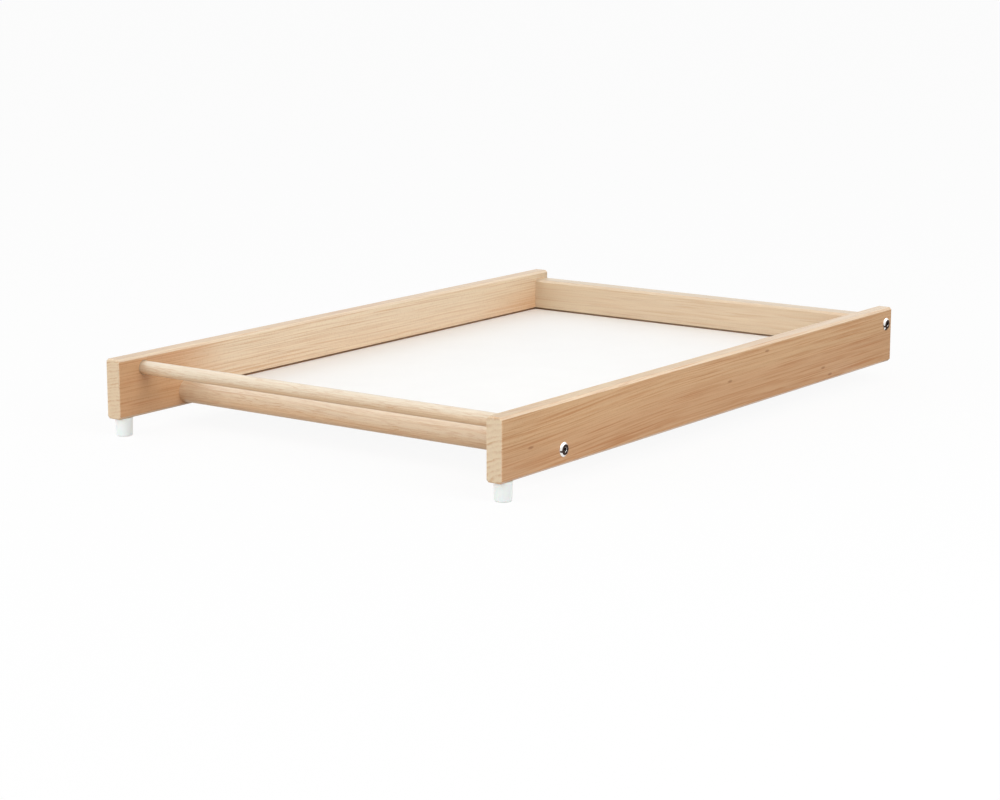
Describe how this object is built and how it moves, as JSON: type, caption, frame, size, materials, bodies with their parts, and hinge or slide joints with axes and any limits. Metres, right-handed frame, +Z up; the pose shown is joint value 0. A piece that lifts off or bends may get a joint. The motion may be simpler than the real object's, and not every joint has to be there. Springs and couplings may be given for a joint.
{
  "type": "cot top changer",
  "caption": "Open beech frame with a white panel in grooves, round front rails and stop pegs; it lies across a cot's rails and holds a changing mat.",
  "frame": {"origin": "middle of the changer's length and width, level with the bases of the stop pegs", "axes": "+X to the right seen from the front, +Y from the pegs and round rails to the back board, +Z up"},
  "size_m": [0.527, 0.8, 0.0855],
  "materials": {
    "beech": "satin clear lacquer on solid beech",
    "dowel_beech": "raw beech",
    "white_panel": "smooth white faced fibreboard, satin",
    "white_plastic": "satin moulded plastic",
    "polished_steel": "polished nickel plate",
    "zinc_steel": "bright zinc plate"
  },
  "bodies": {
    "root": {"left_side_board": "beech", "right_side_board": "beech", "back_board": "beech", "upper_front_rail": "beech", "lower_front_rail": "beech", "changing_panel": "white_panel", "left_dowel_pin": "dowel_beech", "right_dowel_pin": "dowel_beech", "left_foot": "white_plastic", "right_foot": "white_plastic", "front_left_bolt": "polished_steel", "front_right_bolt": "polished_steel", "rear_left_bolt": "polished_steel", "rear_right_bolt": "polished_steel", "front_left_barrel_nut": "zinc_steel", "front_right_barrel_nut": "zinc_steel", "rear_left_barrel_nut": "zinc_steel", "rear_right_barrel_nut": "zinc_steel", "left_foot_screw": "zinc_steel", "right_foot_screw": "zinc_steel"}
  },
  "joints": []
}
